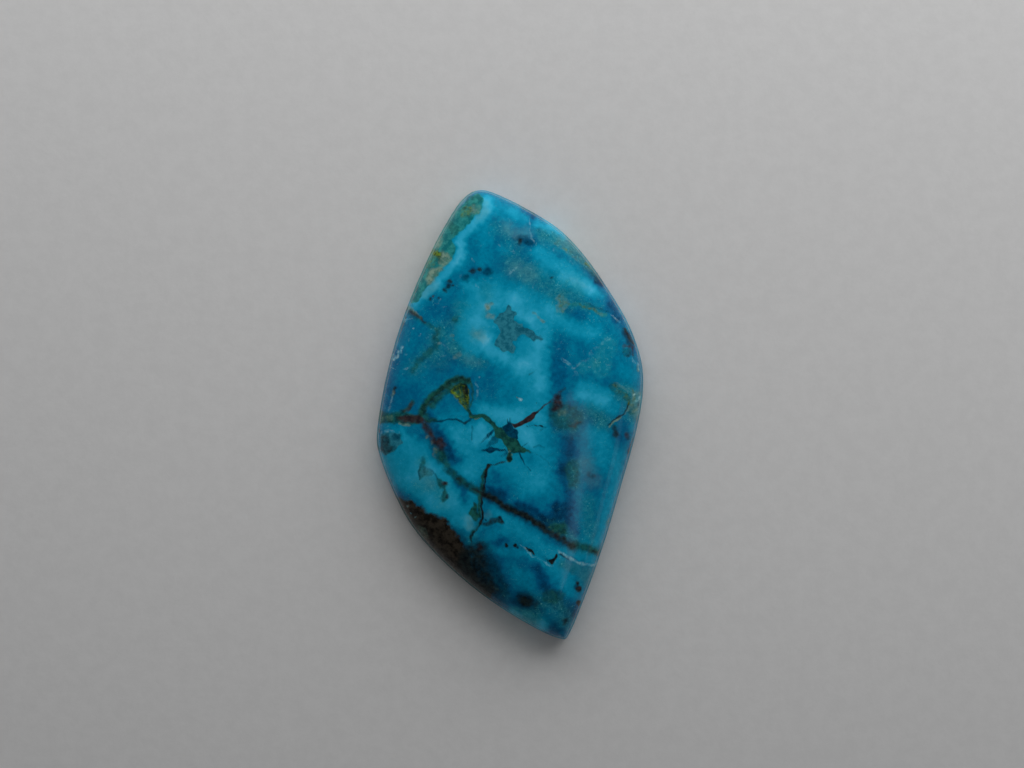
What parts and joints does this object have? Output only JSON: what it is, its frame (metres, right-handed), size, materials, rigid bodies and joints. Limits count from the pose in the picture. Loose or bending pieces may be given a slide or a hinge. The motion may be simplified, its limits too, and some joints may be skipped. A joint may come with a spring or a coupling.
{
  "type": "chrysocolla cabochon",
  "caption": "Polished freeform cabochon of blue chrysocolla with a leaf-shaped outline, a low rounded dome and a flat back, for setting in jewellery or display.",
  "frame": {"origin": "on the flat back, in the middle of the stone's box seen from above", "axes": "+Z out of the back through the dome, +Y along the stone towards its blunt crown, so the pointed tip is at -Y, +X towards the soft corner on the right when the dome is seen with the crown up"},
  "size_m": [0.0266, 0.045, 0.0052],
  "materials": {
    "polished_chrysocolla": "polished opaque blue stone with pale blue clouds, dark brown matrix and thin brown and green veins; satin ground back"
  },
  "bodies": {
    "root": {"chrysocolla_cabochon": "polished_chrysocolla"}
  },
  "joints": []
}
